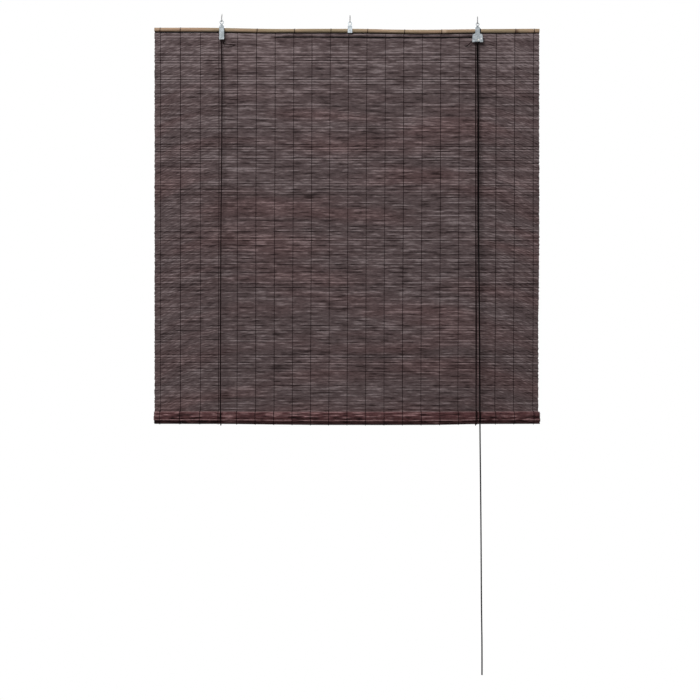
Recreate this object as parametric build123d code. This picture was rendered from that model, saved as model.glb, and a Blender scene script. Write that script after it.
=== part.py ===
from build123d import *
import math
import os

# Bamboo roll up blind, hung from three screw hooks and drawn partly up.
# The frame's origin is the shoulder of the middle screw hook, where its shank enters the ceiling.
# +X is to the right, +Y away from the viewer and +Z up. All sizes are in millimetres.

# Mat and rail
BLIND_WIDTH = 1000.0
BLIND_CENTRE_X = -8.0
SLAT_PITCH = 3.3
SLAT_HEIGHT = 2.95
SLAT_THICK = 1.2
THREAD_THICK = 0.4
THREAD_WIDTH = 1.0
FIRST_THREAD_X = -493.6
OUTER_THREAD_GAP = 51.9
THREAD_GAP = 48.1
THREAD_COUNT = 21
CANE_R = 5.35
CANE_Z = -27.4
CANE_BORE_R = 2.6
CANE_BORE_DEPTH = 32.0
CANE_RINGS_X = (-418.0, -240.0, 118.0, 420.0)

# Rolled part of the mat
ROLL_R = 17.4
ROLL_Z = -1034.0
ROLL_FACETS = 33
CORE_R = 5.0

# Hardware
SHEET = 0.8
CHEEK_GAP = 5.4
WIRE_R = 1.2
CURL_R = 3.8
CURL_ENTRY = 15.0
CURL_END = 298.0
SHANK_LENGTH = 13.2
HOOK_X = (-333.0, 0.0, 331.0)
HOOK_FALL = 0.0086
PIN_R = 0.9
PIN_HEAD_R = 1.7
PIN_HEAD = 0.7
NAIL_R = 0.7
RUNNING = 0.05

# Cords
CORD_R = 1.1
PULL_CORD_R = 1.4
LEFT_SHEAVE_X = -333.0
LEFT_SHEAVE_Z = -44.0
LEFT_WRAP_R = 3.1
LOCK_SHEAVE_X = 332.3
LOCK_SHEAVE_Z = -43.5
LOCK_WRAP_R = 4.95
CORD_PLANE = 1.2
PULL_CORD_TOP = -49.2

# Lock roller and guide pin
ROLLER_X, ROLLER_Z, ROLLER_R = 332.7, -53.4, 3.0
ROLLER_TRAVEL = 2.4
ROLLER_SLOT_ANGLE = 60.0
ROLLER_TEETH = 14
GUIDE_X, GUIDE_Z, GUIDE_R = 340.4, -50.0, 1.6

# Worked out from the above
CHEEK_IN = CHEEK_GAP / 2
CHEEK_OUT = CHEEK_IN + SHEET
MAT_Y = CHEEK_OUT + 0.05 + CANE_R
SLAT_FRONT = MAT_Y - SLAT_THICK / 2
SLAT_BACK = MAT_Y + SLAT_THICK / 2
SLAT_TOP = CANE_Z - CANE_R - 2 * CORD_R - 0.35
ROLL_Y = MAT_Y - ROLL_R + SLAT_THICK / 2
SLING_R = ROLL_R + 0.3 + CORD_R
SLATS = int((SLAT_TOP - ROLL_Z - 7.3) / SLAT_PITCH)
SLATS_END = SLAT_TOP - (SLATS - 1) * SLAT_PITCH - SLAT_HEIGHT
ENTRY = math.radians(CURL_ENTRY)
NECK_BEND = CURL_R * math.sin(ENTRY) / (1 - math.sin(ENTRY))
CURL_DROP = (NECK_BEND + CURL_R) * math.cos(ENTRY)
THREAD_X = [
    FIRST_THREAD_X + OUTER_THREAD_GAP * min(k, 2) + THREAD_GAP * max(k - 2, 0)
    for k in range(THREAD_COUNT)
]
TIED_THREADS = (0, 1, 5, 7, 9, 11, 13, 15, 19, 20)
# The cross cord goes through the mat between these slats: (slats above, x, length of the notch)
CORD_GAPS = ((9, -285.6, 12.0), (10, 299.2, 11.0))


def shoulder_z(x):
    """The three hooks sit on a line that falls slightly to the right."""
    return -HOOK_FALL * x


def along_y(x, z, y_from, y_to, radius):
    """A round bar along Y."""
    bar = Cylinder(radius, y_to - y_from, align=(Align.CENTER, Align.CENTER, Align.MIN))
    return Pos(x, y_from, z) * Rot(-90, 0, 0) * bar


def box(x, y, z):
    """A block between two corners, each axis given as (low, high)."""
    size = [high - low for low, high in (x, y, z)]
    middle = [(high + low) / 2 for low, high in (x, y, z)]
    return Pos(*middle) * Box(*size)


def tube(path, radius, sides=6):
    """A cord or wire along a path. Its section is a polygon, which keeps the surface light."""
    start = Plane(origin=path @ 0, z_dir=path % 0)
    return sweep(start * RegularPolygon(radius, sides, rotation=180 / sides), path=path)


def flat_ring(inner_r, outer_r, width, sides):
    """A ring of flats about X. inner_r is clear all the way round."""
    edge = 1 / math.cos(math.pi / sides)
    ring = RegularPolygon(outer_r * edge, sides) - RegularPolygon(inner_r * edge, sides)
    return extrude(Plane.YZ * ring, width / 2, both=True)


def screw_hook(x):
    """Pointed shank up into the ceiling, and below it the curl that an eye hangs in."""
    point, sides = 2.5, 8
    small = CenterArc((NECK_BEND, 0), NECK_BEND, 180, 90 - CURL_ENTRY)
    curl = CenterArc((0, -CURL_DROP), CURL_R, 90 - CURL_ENTRY, CURL_ENTRY - CURL_END)
    path = Plane.YZ * Wire([small, curl])
    section = RegularPolygon(WIRE_R, sides, rotation=180 / sides)
    shank = extrude(Circle(WIRE_R), SHANK_LENGTH - point)
    tip = loft([section, Pos(0, 0, point) * RegularPolygon(0.2, sides, rotation=180 / sides)])
    hook = tube(path, WIRE_R, sides) + shank + Pos(0, 0, SHANK_LENGTH - point) * tip
    return Pos(x, 0, shoulder_z(x)) * hook


def eye_centre(x, hole_r):
    """Where the hole of an eye is when it hangs in the hook at x."""
    inner = CURL_R - WIRE_R
    rest = shoulder_z(x) - CURL_DROP - math.sqrt(inner**2 - SHEET**2) + 0.1
    return rest - hole_r


def side_profile(half):
    """A closed face in the YZ plane from the points of its +Y half, mirrored to -Y."""
    other = [(-y, z) for y, z in reversed(half)]
    return Plane.YZ * make_face(Polyline(*half, *other, close=True))


def folded_strip(x, top, split, spread, bottom, flare):
    """Strip folded double at the eye, whose two cheeks part at split and stand apart from spread down."""
    crease = 1.0
    outer = [
        (SHEET, top),
        (SHEET, split),
        (CHEEK_OUT, spread),
        (CHEEK_OUT, bottom + crease),
        (CHEEK_OUT + flare, bottom),
    ]
    inner = [
        (0.02, split - SHEET),
        (CHEEK_IN, spread - 0.4 * SHEET),
        (CHEEK_IN, bottom + crease),
        (CHEEK_IN + flare, bottom),
    ]
    return Pos(x, 0, 0) * extrude(side_profile(outer) - side_profile(inner), 20, both=True)


def front_outline(centre_x, half):
    """A closed face in the XZ plane from the points of its +X half about centre_x."""
    other = [(-x, z) for x, z in reversed(half)]
    face = make_face(Polyline(*half, *other, close=True))
    return Plane.XZ * Pos(centre_x, 0, 0) * face


def rounded(outline, radius):
    """The outline with its corners rounded."""
    return fillet(outline.vertices(), radius)


def eye_plate(x, z, radius):
    """A round eye, seen from the front."""
    return extrude(Plane.XZ * Pos(x, z, 0) * Circle(radius), 20, both=True)


def left_pulley_block():
    """Single pulley block: an eye, a short neck and two straight cheeks."""
    x, eye_r, hole_r = HOOK_X[0], 5.4, 3.2
    eye_z = eye_centre(x, hole_r)
    bottom, shoulder, half = -52.2, -18.6, 6.9
    neck = eye_z - 4.4
    cheeks = rounded(front_outline(x, [(half, bottom), (half, shoulder), (3.2, shoulder + 3.4)]), 1.6)
    stem = front_outline(x, [(3.0, shoulder), (3.0, neck)])
    plan = extrude(cheeks, 20, both=True) + extrude(stem, 20, both=True) + eye_plate(x, eye_z, eye_r)
    block = folded_strip(x, eye_z + eye_r, shoulder + 4.6, shoulder, bottom, 0) & plan
    block -= along_y(x, eye_z, -5, 5, hole_r)
    block -= along_y(LEFT_SHEAVE_X, LEFT_SHEAVE_Z, -9, 9, PIN_R)
    block -= along_y(x, CANE_Z, 0, 9, NAIL_R)
    return block


def middle_hanger():
    """Plain strap with an eye, joggled back to lie on the front of the rail."""
    x, eye_r, hole_r = HOOK_X[1], 5.3, 3.2
    eye_z = eye_centre(x, hole_r)
    bottom, half = -34.4, 5.9
    back, front = CHEEK_OUT, CHEEK_OUT - SHEET
    side = [
        (-SHEET / 2, eye_z + eye_r),
        (-SHEET / 2, -17.2),
        (front, -20.4),
        (front, bottom),
        (back, bottom),
        (back, -20.0),
        (SHEET / 2, -16.8),
        (SHEET / 2, eye_z + eye_r),
    ]
    strip = extrude(Plane.YZ * make_face(Polyline(*side, close=True)), 20, both=True)
    shape = rounded(front_outline(x, [(half, bottom), (half, -18.0), (3.2, -15.2)]), 1.4)
    stem = front_outline(x, [(3.0, -19.0), (3.0, eye_z - 4.2)])
    plan = extrude(shape, 20, both=True) + extrude(stem, 20, both=True) + eye_plate(x, eye_z, eye_r)
    hanger = strip & plan
    hanger -= along_y(x, eye_z, -5, 5, hole_r)
    hanger -= along_y(x, CANE_Z, 0, 9, NAIL_R)
    return hanger


def roller_slot():
    """The slanted slot, through both cheeks, that the lock roller's axle slides in."""
    slide = math.radians(180 + ROLLER_SLOT_ANGLE)
    end = (ROLLER_X + ROLLER_TRAVEL * math.cos(slide), ROLLER_Z + ROLLER_TRAVEL * math.sin(slide))
    middle = ((ROLLER_X + end[0]) / 2, (ROLLER_Z + end[1]) / 2)
    outline = SlotCenterToCenter(ROLLER_TRAVEL, 2 * (PIN_R + 0.1), rotation=ROLLER_SLOT_ANGLE)
    return extrude(Plane.XZ * Pos(middle[0], middle[1], 0) * outline, 20, both=True)


def cord_lock_housing():
    """Cord lock: an eye, a narrow neck in front of the rail and a wide, flared skirt with slanted slots."""
    x, eye_r, hole_r = HOOK_X[2], 4.7, 2.7
    eye_z = eye_centre(x, hole_r)
    bottom, skirt, neck_top, neck = -58.0, -36.6, -21.6, 6.0
    outline = [
        (14.3, bottom),
        (13.4, skirt - 2.0),
        (11.2, skirt + 0.6),
        (neck, skirt + 2.2),
        (neck, neck_top),
        (3.0, neck_top + 2.6),
    ]
    body = rounded(front_outline(x, outline), 0.9)
    stem = front_outline(x, [(2.8, neck_top), (2.8, eye_z - 3.8)])
    plan = extrude(body, 20, both=True) + extrude(stem, 20, both=True) + eye_plate(x, eye_z, eye_r)
    housing = folded_strip(x, eye_z + eye_r, -18.4, neck_top, bottom, 0.8) & plan
    housing -= along_y(x, eye_z, -5, 5, hole_r)
    housing -= along_y(LOCK_SHEAVE_X, LOCK_SHEAVE_Z, -9, 9, PIN_R)
    housing -= along_y(GUIDE_X, GUIDE_Z, -9, 9, PIN_R)
    housing -= along_y(x, CANE_Z, 0, 9, NAIL_R)
    housing -= roller_slot()
    return housing


def rivet_pin(x, z, middle_r):
    """A pin through both cheeks with a head on each, and middle_r thick between them."""
    pin = along_y(0, 0, -CHEEK_OUT, CHEEK_OUT, PIN_R)
    if middle_r > PIN_R:
        pin += along_y(0, 0, -CHEEK_IN, CHEEK_IN, middle_r)
    for side in (-1, 1):
        head = extrude(Plane.XZ * RegularPolygon(PIN_HEAD_R, 10), PIN_HEAD / 2, both=True)
        pin += Pos(0, side * (CHEEK_OUT + PIN_HEAD / 2), 0) * head
    return Pos(x, 0, z) * pin


def grooved_sheave(x, z, wrap_r, rim, grooves):
    """A wheel on a rivet, with a groove for each cord. grooves lists their places along Y."""
    half = CHEEK_IN - 0.2
    wheel = along_y(0, 0, -half, half, rim)
    wall = [(wrap_r - 1.15, 0.9), (wrap_r + 1.5, 1.8)]
    other = [(r, -y) for r, y in reversed(wall)]
    groove = revolve(make_face(Polyline(*wall, *other, close=True)), Axis.Y)
    for y in grooves:
        wheel -= Pos(0, y, 0) * groove
    wheel -= along_y(0, 0, -9, 9, PIN_R + RUNNING)
    return Pos(x, 0, z) * wheel


def knurled_lock_roller():
    """Roller with coarse teeth, turned in one with the axle that rides in the housing's slots."""
    root = ROLLER_R - 0.35
    points = []
    for tooth in range(ROLLER_TEETH):
        start = 2 * math.pi * tooth / ROLLER_TEETH
        for share, radius in ((0.0, root), (0.3, ROLLER_R), (0.7, ROLLER_R)):
            turn = start + share * 2 * math.pi / ROLLER_TEETH
            points.append((radius * math.cos(turn), radius * math.sin(turn)))
    face = Plane.XZ * make_face(Polyline(*points, close=True))
    half = CHEEK_IN - 0.15
    roller = extrude(face, half, both=True)
    reach = CHEEK_OUT + 0.1
    roller += along_y(0, 0, -reach - 0.8, reach + 0.8, PIN_R)
    for side in (-1, 1):
        roller += along_y(0, 0, side * (reach + 0.4) - 0.4, side * (reach + 0.4) + 0.4, 1.5)
    return Pos(ROLLER_X, 0, ROLLER_Z) * roller


def rail_nails():
    """One nail through each hanger into the rail, its head inside the folded sheet."""
    nails = []
    for x, head_y in zip(HOOK_X, (CHEEK_IN, CHEEK_OUT - SHEET, CHEEK_IN)):
        head = extrude(Plane.XZ * RegularPolygon(1.7, 10), -0.6)
        shaft = extrude(Plane.XZ * RegularPolygon(NAIL_R, 6), head_y - MAT_Y - 4.2)
        nails.append(Pos(x, head_y - 0.6, CANE_Z) * head + Pos(x, head_y, CANE_Z) * shaft)
    return nails


def top_rail():
    """Bamboo cane: growth rings along it and a hollow at each sawn end."""
    half = BLIND_WIDTH / 2 + 0.5
    cane = extrude(Plane.YZ * RegularPolygon(CANE_R, 24), half, both=True)
    cane = Pos(BLIND_CENTRE_X, 0, 0) * cane
    for x in CANE_RINGS_X:
        cane += Pos(x, 0, 0) * flat_ring(CANE_R - 1, CANE_R + 0.3, 1.6, 12)
    for side in (-1, 1):
        hollow = Rot(0, 90, 0) * Cylinder(CANE_BORE_R, CANE_BORE_DEPTH)
        cane -= Pos(BLIND_CENTRE_X + side * (half - CANE_BORE_DEPTH / 2 + 0.01), 0, 0) * hollow
    cane = Pos(0, MAT_Y, CANE_Z) * cane
    for x in HOOK_X:
        cane -= along_y(x, CANE_Z, 0, MAT_Y + 4.2, NAIL_R)
    return cane


def mat_slats():
    """The hanging slats, with notches where the cross cord goes through between two of them."""
    low_x = BLIND_CENTRE_X - BLIND_WIDTH / 2
    across = (low_x, low_x + BLIND_WIDTH)
    slats = []
    for k in range(SLATS):
        top = SLAT_TOP - k * SLAT_PITCH
        slat = box(across, (SLAT_FRONT, SLAT_BACK), (top - SLAT_HEIGHT, top))
        for above, x, length in CORD_GAPS:
            if k in (above - 1, above):
                middle = gap_z(above)
                cut = (middle - CORD_R - 0.2, middle + CORD_R + 0.2)
                slat -= box((x - length / 2, x + length / 2), (0, 20), cut)
        slats.append(slat)
    return slats


def gap_z(above):
    """The middle of the gap that has this many slats above it."""
    return SLAT_TOP - above * SLAT_PITCH + (SLAT_PITCH - SLAT_HEIGHT) / 2


def warp_thread(k):
    """One warp thread: a strand down each face of the mat, joined at the top or looped round the rail."""
    x = (THREAD_X[k] - THREAD_WIDTH / 2, THREAD_X[k] + THREAD_WIDTH / 2)
    front = (SLAT_FRONT - THREAD_THICK, SLAT_FRONT)
    back = (SLAT_BACK, SLAT_BACK + THREAD_THICK)
    if k in TIED_THREADS:
        loop = flat_ring(CANE_R + 0.15, CANE_R + 0.15 + THREAD_THICK, THREAD_WIDTH, 12)
        loop = Pos(THREAD_X[k], MAT_Y, CANE_Z) * loop
        top = CANE_Z - CANE_R - 0.3
    else:
        top = SLAT_TOP + 0.6
        loop = box(x, (front[0], back[1]), (top - THREAD_THICK, top))
    return loop + box(x, front, (SLATS_END, top)) + box(x, back, (SLATS_END, top))


def rolled_mat():
    """The rolled part as one solid: each flat of its outer turn is one slat, with a groove between two."""
    step = 2 * math.pi / ROLL_FACETS
    points = []
    for k in range(ROLL_FACETS):
        for share, radius in ((-0.42, ROLL_R), (0.42, ROLL_R), (0.5, ROLL_R - 0.6)):
            turn = (k + share) * step
            points.append((radius * math.cos(turn), radius * math.sin(turn)))
    section = make_face(Polyline(*points, close=True)) - Circle(CORE_R)
    roll = extrude(Plane.YZ * section, BLIND_WIDTH / 2, both=True)
    return Pos(BLIND_CENTRE_X, ROLL_Y, ROLL_Z) * roll


def core_rod():
    """Wooden rod that the mat is rolled on, just short of the roll's ends, with broken edges."""
    length = BLIND_WIDTH - 3
    side = [(0, 0), (CORE_R - 0.8, 0), (CORE_R, 0.8), (CORE_R, length - 0.8), (CORE_R - 0.8, length), (0, length)]
    rod = revolve(make_face(Polyline(*[(z, r) for r, z in side], close=True)), Axis.X)
    return Pos(BLIND_CENTRE_X - length / 2, ROLL_Y, ROLL_Z) * rod


def sling(x):
    """The lift cord's half turn under the roll."""
    ring = flat_ring(SLING_R - CORD_R, SLING_R + CORD_R, 2 * CORD_R, 24)
    ring -= box((-5, 5), (-40, 40), (0, 40))
    return Pos(x, ROLL_Y, ROLL_Z) * ring


def straight_cord(start, end, radius):
    """A cord pulled straight between two points."""
    return tube(Line(start, end), radius)


def hitch(x):
    """The lift cord's turn round the rail, where it is tied off."""
    return Pos(x, MAT_Y, CANE_Z) * flat_ring(CANE_R + 0.08, CANE_R + 2 * CORD_R, 2 * CORD_R, 14)


def corner_radii(points):
    """The arc at each inner point of a route: 0.45 of the shorter run over the tangent of half the turn."""
    radii = []
    for before, at, after in zip(points, points[1:], points[2:]):
        run_in, run_out = Vector(*at) - Vector(*before), Vector(*after) - Vector(*at)
        half_turn = math.radians(run_in.get_angle(run_out)) / 2
        radii.append(0.45 * min(run_in.length, run_out.length) / math.tan(half_turn))
    return radii


LOCK_MOUTH = (308.0, CORD_PLANE, gap_z(10) + 0.5)
to_sheave = math.hypot(LOCK_SHEAVE_X - LOCK_MOUTH[0], LOCK_SHEAVE_Z - LOCK_MOUTH[2])
rise = math.atan2(LOCK_SHEAVE_Z - LOCK_MOUTH[2], LOCK_SHEAVE_X - LOCK_MOUTH[0])
rise += math.asin(LOCK_WRAP_R / to_sheave)
ON_SHEAVE = (
    LOCK_SHEAVE_X - LOCK_WRAP_R * math.sin(rise),
    CORD_PLANE,
    LOCK_SHEAVE_Z + LOCK_WRAP_R * math.cos(rise),
)
BEHIND_MAT = SLAT_BACK + THREAD_THICK + CORD_R + 1.2

# The cross cord between the two sheaves: down out of the left block, through the mat, behind it and back
CROSS_ROUTE = [
    (LEFT_SHEAVE_X + LEFT_WRAP_R, 0, LEFT_SHEAVE_Z),
    (LEFT_SHEAVE_X + LEFT_WRAP_R, 0, -58.5),
    (-322.5, 0, gap_z(9)),
    (-300.5, 0, gap_z(9)),
    (-280.2, BEHIND_MAT, gap_z(9)),
    (-240.0, BEHIND_MAT + 0.3, gap_z(9) - 0.4),
    (262.0, BEHIND_MAT + 0.3, gap_z(10) - 0.4),
    (295.5, BEHIND_MAT, gap_z(10)),
    LOCK_MOUTH,
    ON_SHEAVE,
]

# The pull cord: past the lock's roller, out of the middle of the lock and over the front of the roll
PULL_X = LOCK_SHEAVE_X + LOCK_WRAP_R
OVER_ROLL = ROLL_Y - ROLL_R - PULL_CORD_R - 0.4
UPPER_ROUTE = [
    (PULL_X, 0, PULL_CORD_TOP),
    (PULL_X, 0, -56.5),
    (PULL_X - 5.0, -0.6, -61.5),
    (PULL_X - 5.5, -0.9, -72),
    (PULL_X - 4.0, -4.2, -234),
    (PULL_X - 3.8, -13.5, -572),
    (PULL_X - 2.0, -21.5, -832),
    (PULL_X - 1.1, OVER_ROLL + 0.6, -1000),
    (PULL_X - 1.0, OVER_ROLL, -1060),
]
# From there it hangs down to its bare end
LOWER_ROUTE = [
    (PULL_X - 1.0, OVER_ROLL, -1060.1),
    (PULL_X - 0.8, OVER_ROLL, -1100),
    (PULL_X + 0.1, OVER_ROLL - 0.3, -1230),
    (PULL_X + 1.4, OVER_ROLL - 0.2, -1400),
    (PULL_X + 1.9, OVER_ROLL - 0.5, -1508),
    (PULL_X + 3.1, OVER_ROLL - 0.3, -1590),
    (PULL_X + 3.5, OVER_ROLL - 0.4, -1645),
    (PULL_X + 3.4, OVER_ROLL - 0.4, -1697),
]


def routed_cord(route, radius):
    """A tube along straight runs joined by tangent arcs."""
    radii = corner_radii(route)
    print("radii", [round(r, 1) for r in radii], "smallest in diameters", round(min(radii) / radius / 2, 1))
    return tube(FilletPolyline(*route, radius=radii), radius)


def over_the_top(x, y, z, wrap_r, turn_from):
    """A cord's arc over a sheave, ending where it heads straight down at the right."""
    path = CenterArc((0, 0), wrap_r, turn_from, -turn_from)
    return Pos(x, y, z) * Rot(90, 0, 0) * tube(path, CORD_R)


def cross_cord():
    """Over the left sheave, along the mat, and over the lock's sheave to the pull cord."""
    cord = routed_cord(CROSS_ROUTE, CORD_R)
    cord += over_the_top(LEFT_SHEAVE_X, 0, LEFT_SHEAVE_Z, LEFT_WRAP_R, 180)
    start = 90 + math.degrees(rise)
    cord += over_the_top(LOCK_SHEAVE_X, CORD_PLANE, LOCK_SHEAVE_Z, LOCK_WRAP_R, start)
    return cord + straight_cord((PULL_X, CORD_PLANE, LOCK_SHEAVE_Z), (PULL_X, CORD_PLANE, -49.0), CORD_R)


def right_cord_in_lock():
    """The right lift cord's turn over the lock's sheave."""
    cord = over_the_top(LOCK_SHEAVE_X, -CORD_PLANE, LOCK_SHEAVE_Z, LOCK_WRAP_R, 180)
    return cord + straight_cord((PULL_X, -CORD_PLANE, LOCK_SHEAVE_Z), (PULL_X, -CORD_PLANE, -49.0), CORD_R)


def front_run(x, y, z):
    """A lift cord in front of the mat, from its sheave down to the sling."""
    return straight_cord((x, y, z - 0.1), (x, ROLL_Y - SLING_R, ROLL_Z + 0.15), CORD_R)


def back_run(x, hitch_x):
    """A lift cord behind the mat, from the sling up to its hitch on the rail."""
    bottom = (x, ROLL_Y + SLING_R, ROLL_Z + 0.15)
    return straight_cord(bottom, (hitch_x, MAT_Y + 2.9, CANE_Z - CANE_R - 3.4), CORD_R)


LEFT_LIFT_X = LEFT_SHEAVE_X - LEFT_WRAP_R
RIGHT_LIFT_X = LOCK_SHEAVE_X - LOCK_WRAP_R
LEFT_HITCH_X, RIGHT_HITCH_X = -346.0, 339.6

nodes = {
    "screw_hook_left": screw_hook(HOOK_X[0]),
    "screw_hook_middle": screw_hook(HOOK_X[1]),
    "screw_hook_right": screw_hook(HOOK_X[2]),
    "top_rail": top_rail(),
    "left_pulley_block": left_pulley_block(),
    "middle_hanger": middle_hanger(),
    "cord_lock_housing": cord_lock_housing(),
    "rail_nails": rail_nails(),
    "left_sheave_pin": rivet_pin(LEFT_SHEAVE_X, LEFT_SHEAVE_Z, 0),
    "lock_sheave_pin": rivet_pin(LOCK_SHEAVE_X, LOCK_SHEAVE_Z, 0),
    "lock_guide_pin": rivet_pin(GUIDE_X, GUIDE_Z, GUIDE_R),
    "left_sheave": grooved_sheave(LEFT_SHEAVE_X, LEFT_SHEAVE_Z, LEFT_WRAP_R, 4.4, (0,)),
    "lock_sheave": grooved_sheave(LOCK_SHEAVE_X, LOCK_SHEAVE_Z, LOCK_WRAP_R, 4.5, (-CORD_PLANE, CORD_PLANE)),
    "lock_roller": knurled_lock_roller(),
    "mat_slats": mat_slats(),
    "rolled_mat": rolled_mat(),
    "core_rod": core_rod(),
    "left_lift_cord_front": front_run(LEFT_LIFT_X, 0, LEFT_SHEAVE_Z),
    "right_lift_cord_front": front_run(RIGHT_LIFT_X, -CORD_PLANE, LOCK_SHEAVE_Z),
    "left_lift_cord_back": back_run(LEFT_LIFT_X, LEFT_HITCH_X),
    "right_lift_cord_back": back_run(RIGHT_LIFT_X, RIGHT_HITCH_X),
    "left_cord_hitch": hitch(LEFT_HITCH_X),
    "right_cord_hitch": hitch(RIGHT_HITCH_X),
    "left_sling": sling(LEFT_LIFT_X),
    "right_sling": sling(RIGHT_LIFT_X),
    "cross_cord": cross_cord(),
    "right_cord_in_lock": right_cord_in_lock(),
    "pull_cord_upper": routed_cord(UPPER_ROUTE, PULL_CORD_R),
    "pull_cord_lower": routed_cord(LOWER_ROUTE, PULL_CORD_R),
}
for k in range(THREAD_COUNT):
    nodes[f"warp_thread_{k + 1:02d}"] = warp_thread(k)

os.makedirs("parts", exist_ok=True)
for name, shape in nodes.items():
    if isinstance(shape, list):
        shape = Compound(children=[s if isinstance(s, Solid) else s.solid() for s in shape])
    export_step(shape, f"parts/{name}.step")
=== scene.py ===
import math

import bpy
import numpy as np
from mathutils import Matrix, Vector


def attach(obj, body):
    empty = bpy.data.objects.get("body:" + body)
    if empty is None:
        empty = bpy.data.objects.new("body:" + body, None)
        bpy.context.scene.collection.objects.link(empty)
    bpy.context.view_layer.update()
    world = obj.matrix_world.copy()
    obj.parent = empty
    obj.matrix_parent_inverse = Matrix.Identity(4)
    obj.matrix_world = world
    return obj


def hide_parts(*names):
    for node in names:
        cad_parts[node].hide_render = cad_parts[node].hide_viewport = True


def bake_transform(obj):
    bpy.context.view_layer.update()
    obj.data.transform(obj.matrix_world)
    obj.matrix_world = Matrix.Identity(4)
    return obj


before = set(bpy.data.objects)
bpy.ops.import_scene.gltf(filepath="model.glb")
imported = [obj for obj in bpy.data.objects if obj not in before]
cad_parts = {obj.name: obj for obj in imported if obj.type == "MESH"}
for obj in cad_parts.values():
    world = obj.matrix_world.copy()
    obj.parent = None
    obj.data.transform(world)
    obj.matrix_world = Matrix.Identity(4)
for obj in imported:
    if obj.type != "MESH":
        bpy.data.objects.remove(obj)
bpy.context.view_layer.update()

# Sizes and places, in millimetres. The cane is 0.35 mm thinner than its CAD solid, the slats begin 0.9 mm
# higher and the left hitch is 8.6 mm further right. The others are the CAD model's.
MM = 0.001
BLIND_CENTRE_X = -8.0
BLIND_HALF = 500.0
MAT_Y = 8.9
SLAT_PITCH = 3.3
SLAT_TOP = -34.4
CANE_R = 5.0
ROLL_Y, ROLL_Z, ROLL_R = -7.9, -1034.0, 17.4
CORE_R = 5.0
SLING_R = 19.1
CORD_R = 1.1
PULL_CORD_R = 1.4
HOOKS = (("left", -333.0), ("middle", 0.0), ("right", 331.0))
HOOK_FALL = 0.0086
LEFT_LIFT_X, RIGHT_LIFT_X, PULL_X = -336.1, 327.35, 337.25
LEFT_HITCH_X, RIGHT_HITCH_X = -337.4, 339.6
THREAD_X = [-493.6 + 51.9 * min(k, 2) + 48.1 * max(k - 2, 0) for k in range(21)]
TIED_THREADS = (0, 1, 5, 7, 9, 11, 13, 15, 19, 20)
THREAD_R = 0.66
THREAD_FOOT = -1023.5
GAP_LEFT, GAP_RIGHT = -64.8, -68.1
BEHIND_MAT = 12.2
OVER_ROLL = -27.1


# Camera and light, in metres and watts

CAMERA_AWAY = 5.0
CAMERA_HEIGHT = -0.858
VIEW_WIDTH = 1.82
SENSOR_WIDTH = 36.0
WORLD_LIGHT = 0.12


def make_camera():
    """Square on to the blind. The picture is VIEW_WIDTH metres wide in the plane of the mat."""
    data = bpy.data.cameras.new("photo_camera")
    data.sensor_width = SENSOR_WIDTH
    data.lens = SENSOR_WIDTH * (CAMERA_AWAY + MAT_Y * MM) / VIEW_WIDTH
    data.clip_end = 60.0
    camera = bpy.data.objects.new("photo_camera", data)
    camera.location = (0.0, -CAMERA_AWAY, CAMERA_HEIGHT)
    camera.rotation_euler = (math.pi / 2, 0.0, 0.0)
    bpy.context.collection.objects.link(camera)
    bpy.context.scene.camera = camera


def area_light(name, place, target, size, power):
    data = bpy.data.lights.new(name, "AREA")
    data.shape = "SQUARE"
    data.size = size
    data.energy = power
    light = bpy.data.objects.new(name, data)
    light.location = place
    light.rotation_euler = (Vector(target) - Vector(place)).to_track_quat("-Z", "Y").to_euler()
    bpy.context.collection.objects.link(light)


def make_light():
    area_light("key_light", place=(-1.8, -4.6, 3.5), target=(0, 0, -0.6), size=2.8, power=440)
    area_light("fill_light", place=(2.2, -3.2, -0.2), target=(0, 0, -0.7), size=2.4, power=10)
    area_light("back_light", place=(0.6, 3.2, 1.4), target=(0, 0, -0.6), size=2.4, power=90)
    world = bpy.data.worlds.new("studio_world")
    bpy.context.scene.world = world
    world.use_nodes = True
    tree = world.node_tree
    tree.nodes.clear()
    seen = seen_by_camera_or_mirror(tree)
    plain = node(tree, "ShaderNodeBackground", {}, {"Color": rgba(1.0), "Strength": WORLD_LIGHT})
    white = node(tree, "ShaderNodeBackground", {}, {"Color": rgba(1.0), "Strength": 1.0})
    mix = node(tree, "ShaderNodeMixShader", {}, {0: seen, 1: plain.outputs[0], 2: white.outputs[0]})
    world_out = tree.nodes.new("ShaderNodeOutputWorld")
    tree.links.new(mix.outputs[0], world_out.inputs[0])
    bpy.context.scene.view_settings.view_transform = "Standard"


# Node helpers

def rgba(value):
    """A colour for a socket, from three parts, or from one for a grey."""
    return (*value, 1.0) if isinstance(value, tuple) else (value, value, value, 1.0)


def node(tree, kind, settings, values):
    """A node with its settings made, and each input given a value or linked to a socket."""
    made = tree.nodes.new(kind)
    for name, value in settings.items():
        setattr(made, name, value)
    for name, value in values.items():
        if isinstance(value, bpy.types.NodeSocket):
            tree.links.new(value, made.inputs[name])
        else:
            made.inputs[name].default_value = value
    return made


def math_of(tree, operation, a, b=0.0, clamp=False):
    settings = {"operation": operation, "use_clamp": clamp}
    return node(tree, "ShaderNodeMath", settings, {0: a, 1: b}).outputs[0]


def plus(tree, a, b, clamp=False):
    return math_of(tree, "ADD", a, b, clamp)


def times(tree, a, b):
    return math_of(tree, "MULTIPLY", a, b)


def ramp_of(tree, value, low, high, out_low=0.0, out_high=1.0):
    """value mapped smoothly from low..high to out_low..out_high."""
    values = {"Value": value, "From Min": low, "From Max": high, "To Min": out_low, "To Max": out_high}
    return node(tree, "ShaderNodeMapRange", {"interpolation_type": "SMOOTHSTEP"}, values).outputs[0]


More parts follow.
